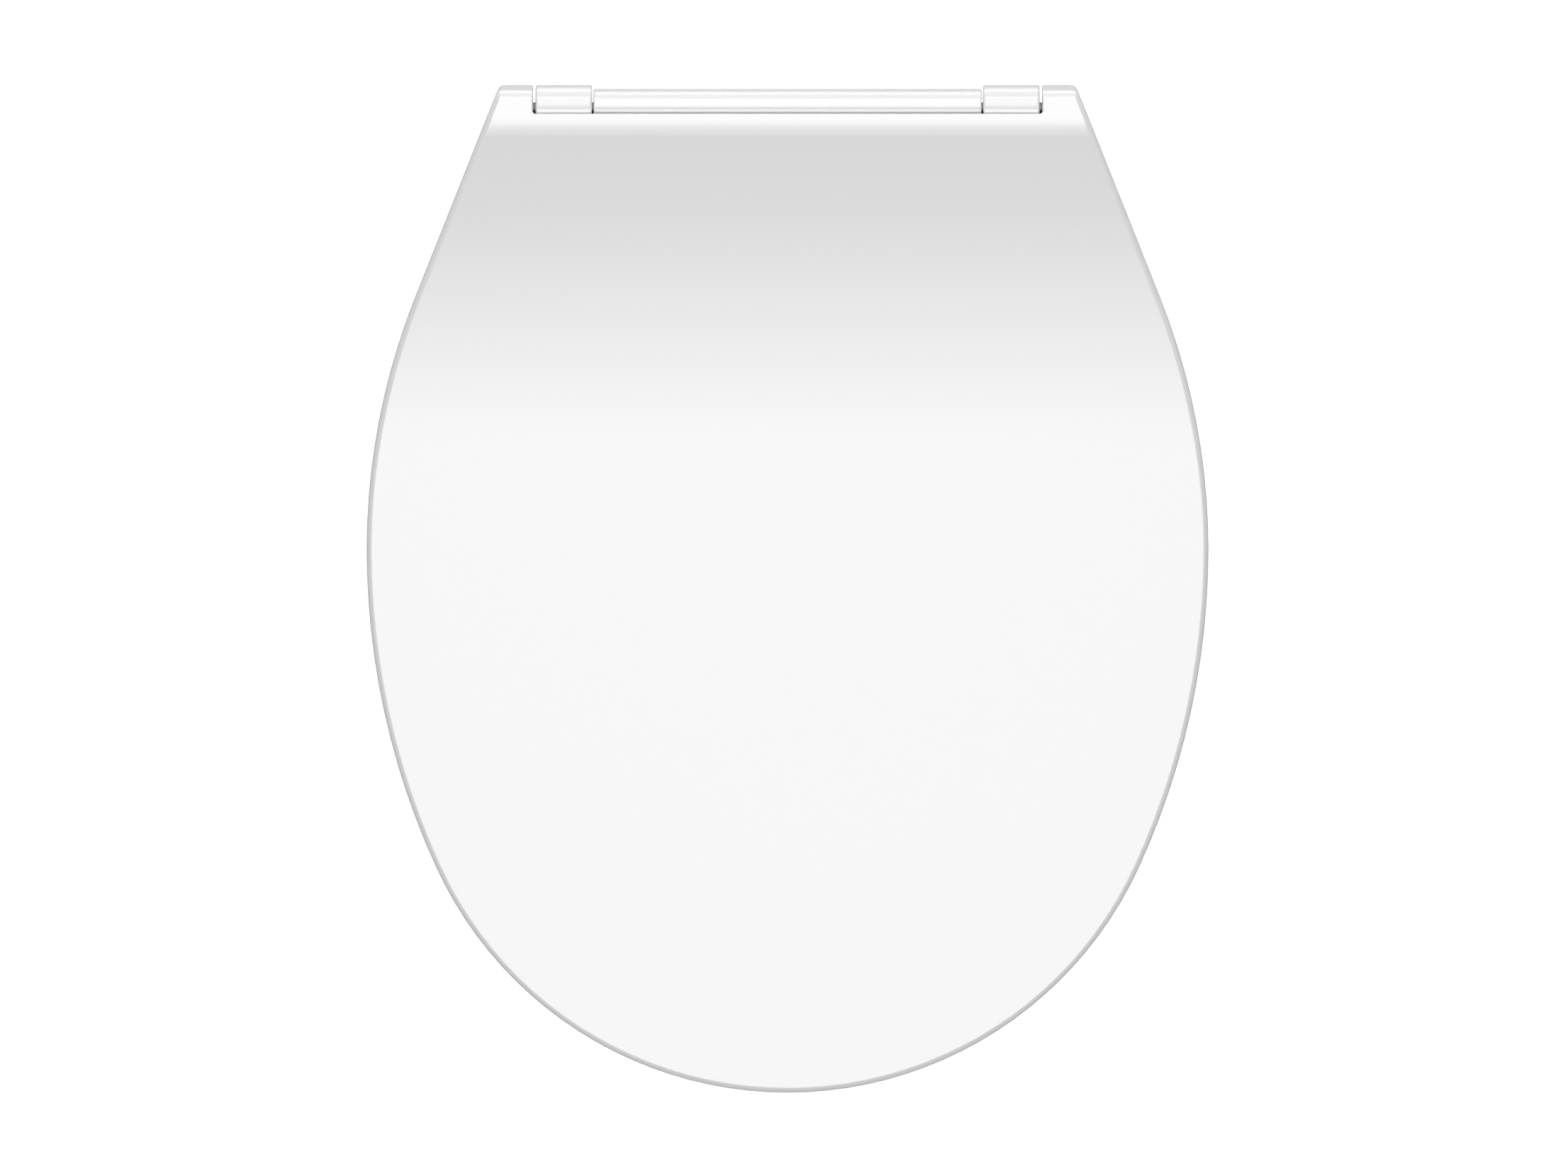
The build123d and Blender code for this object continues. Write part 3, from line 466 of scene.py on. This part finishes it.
def rubber_skin():
    """Dull skin with small pores and a dusty bloom."""
    tree, given, result = skin_group("rubber skin", SKIN_INPUTS)
    pores = add(tree, "ShaderNodeTexVoronoi", feature="SMOOTH_F1", Smoothness=0.6)
    bloom = add(tree, "ShaderNodeTexNoise", Detail=6.0, Roughness=0.65)
    join(
        tree,
        (given.outputs["Vector"], pores.inputs["Vector"]),
        (given.outputs["Ripple Scale"], pores.inputs["Scale"]),
        (given.outputs["Vector"], bloom.inputs["Vector"]),
        (given.outputs["Cloud Scale"], bloom.inputs["Scale"]),
    )
    patches, height = bloom.outputs["Fac"], pores.outputs["Distance"]
    finish_skin(tree, given, result, patches, height, start=0.35, end=0.65)
    return tree


def grey(level, warmth=0.0):
    """A near-neutral colour. Warmth above 0 takes a little blue out."""
    return (level, level * (1 - warmth * WARM_GREEN), level * (1 - warmth), 1)


def finish(name, skin, tones, roughness, relief, scales=(), stretch=(1, 1, 1), **shader_values):
    """A material made from one of the skins.

    It varies between two tones and between two values of roughness. Scales are those of the ripples or pores
    and of the cloudy patches, and steel has none. Relief is the height of the bumps, in metres.
    """
    material = bpy.data.materials.new(name)
    tree = new_tree(material)
    values = dict(zip(("Tone", "Other Tone"), tones))
    values.update(zip(("Gloss Roughness", "Dull Roughness"), roughness))
    values.update(zip(("Ripple Scale", "Cloud Scale"), scales))
    spot = add(tree, "ShaderNodeTexCoord")
    stretched = add(tree, "ShaderNodeMapping", Scale=stretch)
    surface = add(tree, "ShaderNodeGroup", node_tree=skin, **values)
    bump = add(tree, "ShaderNodeBump", Strength=1.0, Distance=relief)
    shader = add(tree, "ShaderNodeBsdfPrincipled", **shader_values)
    out = add(tree, "ShaderNodeOutputMaterial")
    join(
        tree,
        (spot.outputs["Object"], stretched.inputs["Vector"]),
        (stretched.outputs[0], surface.inputs["Vector"]),
        (surface.outputs["Color"], shader.inputs["Base Color"]),
        (surface.outputs["Roughness"], shader.inputs["Roughness"]),
        (surface.outputs["Height"], bump.inputs["Height"]),
        (bump.outputs[0], shader.inputs["Normal"]),
        (shader.outputs[0], out.inputs["Surface"]),
    )
    return material


def plastic_finishes():
    """The mouldings. The seat and the hinges have a clear gloss over their skin."""
    skin = moulded_skin()
    return {
        "white_moulding": finish(
            "white seat moulding", skin, tones=(grey(0.80), grey(0.805)), roughness=(0.03, 0.05),
            scales=(260, 9), relief=1.5e-6, **LACQUER,
        ),
        "hinge_plastic": finish(
            "white hinge moulding", skin, tones=(grey(0.80), grey(0.81)), roughness=(0.20, 0.26),
            scales=(900, 60), relief=1.5e-6, **LACQUER,
        ),
        "slider_plastic": finish(
            "pale grey slider moulding", skin, tones=(grey(0.55), grey(0.58)), roughness=(0.28, 0.40),
            scales=(1400, 150), relief=6e-6, IOR=1.5,
        ),
        "bush_plastic": finish(
            "natural bush plastic", skin, tones=(grey(0.66, 0.06), grey(0.70, 0.05)), roughness=(0.34, 0.44),
            scales=(1500, 180), relief=6e-6, IOR=1.48,
        ),
        "damper_plastic": finish(
            "black damper plastic", skin, tones=(grey(0.016), grey(0.022)), roughness=(0.34, 0.48),
            scales=(1600, 160), relief=6e-6, IOR=1.5,
        ),
        "nut_plastic": finish(
            "off-white nylon", skin, tones=(grey(0.70, 0.02), grey(0.74, 0.02)), roughness=(0.36, 0.48),
            scales=(1300, 120), relief=8e-6, IOR=1.53,
        ),
    }


def rubber_finishes():
    """The seals in the dampers, the gaskets and washers on the bowl, and the buffers."""
    rubber = rubber_skin()
    return {
        "seal_rubber": finish(
            "black seal rubber", rubber, tones=(grey(0.010), grey(0.018)), roughness=(0.5, 0.7),
            scales=(2500, 300), relief=8e-6, IOR=1.5,
        ),
        "gasket_rubber": finish(
            "grey foam rubber", rubber, tones=(grey(0.10), grey(0.13)), roughness=(0.6, 0.8),
            scales=(1600, 140), relief=6e-5, IOR=1.45,
        ),
        "buffer_rubber": finish(
            "pale buffer rubber", rubber, tones=(grey(0.58, 0.02), grey(0.64, 0.02)), roughness=(0.5, 0.68),
            scales=(1500, 120), relief=1.5e-5, IOR=1.45,
        ),
    }


def steel_finishes():
    """The metal pieces. Stretch gives the scale of the tool's lines along X, Y and Z."""
    steel = machined_steel()
    return {
        # Pin tone far darker than the other steels, so that the pin looks dark in the narrow gaps of the hinge
        # row.
        "pin_steel": finish(
            "darkened pin steel", steel, tones=(grey(0.15), grey(0.22)), roughness=(0.38, 0.50),
            relief=3e-6, stretch=(4000, 60, 60), Metallic=1.0,
        ),
        "spring_steel": finish(
            "drawn spring wire", steel, tones=(grey(0.46), grey(0.56)), roughness=(0.24, 0.36),
            relief=2e-6, stretch=(900, 900, 900), Metallic=1.0,
        ),
        "post_steel": finish(
            "turned post steel", steel, tones=(grey(0.52), grey(0.64)), roughness=(0.20, 0.36),
            relief=3e-6, stretch=(60, 60, 4000), Metallic=1.0,
        ),
        "plate_steel": finish(
            "brushed plate steel", steel, tones=(grey(0.54), grey(0.64)), roughness=(0.26, 0.42),
            relief=3e-6, stretch=(40, 2600, 2600), Metallic=1.0,
        ),
        "bolt_steel": finish(
            "plated bolt steel", steel, tones=(grey(0.50), grey(0.60, 0.03)), roughness=(0.24, 0.40),
            relief=3e-6, stretch=(300, 300, 2200), Metallic=1.0,
        ),
    }


def dress_solids(finishes):
    """Each solid takes the finish of the material slot that the record gives it."""
    for part in frame["record"]["subparts"]:
        mesh = frame["nodes"][part["node"]].data
        mesh.materials.clear()
        mesh.materials.append(finishes[part["material_slot"]])


THREAD_INPUTS = [
    ("First Bolt", "NodeSocketVector"),
    ("Next Bolt", "NodeSocketVector"),
    ("Turns", "NodeSocketFloat"),
    ("Length", "NodeSocketFloat"),
    ("Radius", "NodeSocketFloat"),
    ("Depth", "NodeSocketFloat"),
    ("Steel", "NodeSocketMaterial"),
]


def screw_thread():
    """Geometry Nodes tree: a ridge of diamond section wound right-handed up each bolt."""
    tree = bpy.data.node_groups.new("screw thread", "GeometryNodeTree")
    for name, kind in THREAD_INPUTS:
        tree.interface.new_socket(name=name, in_out="INPUT", socket_type=kind)
    tree.interface.new_socket(name="Geometry", in_out="OUTPUT", socket_type="NodeSocketGeometry")
    given, result = tree.nodes.new("NodeGroupInput"), tree.nodes.new("NodeGroupOutput")
    spiral = add(tree, "GeometryNodeCurveSpiral", Resolution=THREAD_POINTS_PER_TURN, Reverse=True)
    level = add(tree, "GeometryNodeSetCurveNormal", mode="Z_UP")
    section = add(tree, "GeometryNodeCurvePrimitiveCircle", mode="RADIUS", Resolution=THREAD_CORNERS)
    ridge = add(tree, "GeometryNodeCurveToMesh")
    ridge.inputs["Fill Caps"].default_value = True
    bolts = add(tree, "GeometryNodeMeshLine", mode="OFFSET", Count=BOLT_COUNT)
    wound = add(tree, "GeometryNodeInstanceOnPoints")
    real = add(tree, "GeometryNodeRealizeInstances")
    paint = add(tree, "GeometryNodeSetMaterial")
    join(
        tree,
        (given.outputs["Turns"], spiral.inputs["Rotations"]),
        (given.outputs["Length"], spiral.inputs["Height"]),
        (given.outputs["Radius"], spiral.inputs["Start Radius"]),
        (given.outputs["Radius"], spiral.inputs["End Radius"]),
        (given.outputs["Depth"], section.inputs["Radius"]),
        (given.outputs["First Bolt"], bolts.inputs["Start Location"]),
        (given.outputs["Next Bolt"], bolts.inputs["Offset"]),
        (given.outputs["Steel"], paint.inputs["Material"]),
        (spiral.outputs["Curve"], level.inputs["Curve"]),
        (level.outputs["Curve"], ridge.inputs["Curve"]),
        (section.outputs["Curve"], ridge.inputs["Profile Curve"]),
        (bolts.outputs["Mesh"], wound.inputs["Points"]),
        (ridge.outputs["Mesh"], wound.inputs["Instance"]),
        (wound.outputs["Instances"], real.inputs["Geometry"]),
        (real.outputs["Geometry"], paint.inputs["Geometry"]),
        (paint.outputs["Geometry"], result.inputs["Geometry"]),
    )
    return tree


def face_outwards(mesh):
    """Merges the corners that lie together and turns every face outwards."""
    shape = bmesh.new()
    shape.from_mesh(mesh)
    bmesh.ops.remove_doubles(shape, verts=shape.verts, dist=MERGE_DISTANCE)
    bmesh.ops.recalc_face_normals(shape, faces=shape.faces)
    shape.to_mesh(mesh)
    shape.free()


def wind_threads(steel):
    """The threads that show between the wing nuts and the ends of the bolts."""
    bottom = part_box("fixing_bolts")[0].z + THREAD_END
    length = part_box("wing_nuts")[0].z - bottom
    values = {
        "First Bolt": (-BOLT_SPACING / 2, 0, bottom),
        "Next Bolt": (BOLT_SPACING, 0, 0),
        "Turns": length / THREAD_PITCH,
        "Length": length,
        "Radius": THREAD_RADIUS,
        "Depth": THREAD_DEPTH,
        "Steel": steel,
    }
    threads = bpy.data.objects.new("bolt_threads", bpy.data.meshes.new("bolt_threads"))
    scene.collection.objects.link(threads)
    winding = threads.modifiers.new("screw thread", "NODES")
    winding.node_group = screw_thread()
    for socket in winding.node_group.interface.items_tree:
        if socket.in_out == "INPUT":
            winding[socket.identifier] = values[socket.name]
    wound = threads.evaluated_get(bpy.context.evaluated_depsgraph_get())
    mesh = bpy.data.meshes.new_from_object(wound)
    threads.modifiers.remove(winding)
    threads.data = mesh
    face_outwards(mesh)
    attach(threads, "hinges")


def free_springs(wire):
    """Merged copies of the release springs in spring wire, carried with the hinges, in place of the fixed ones."""
    for side in ("left", "right"):
        fixed = frame["nodes"]["release_spring_" + side]
        mesh = fixed.data.copy()
        mesh.transform(fixed.matrix_world)
        face_outwards(mesh)
        mesh.shade_smooth()
        mesh.materials.clear()
        mesh.materials.append(wire)
        spring = bpy.data.objects.new("spring_coil_" + side, mesh)
        scene.collection.objects.link(spring)
        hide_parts(fixed.name)
        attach(spring, "hinges")
        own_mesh(spring)


studio_floor()
matt_card()
studio_room()
studio_lights()
studio_camera()
finishes = {**plastic_finishes(), **rubber_finishes(), **steel_finishes()}
dress_solids(finishes)
wind_threads(finishes["bolt_steel"])
free_springs(finishes["spring_steel"])
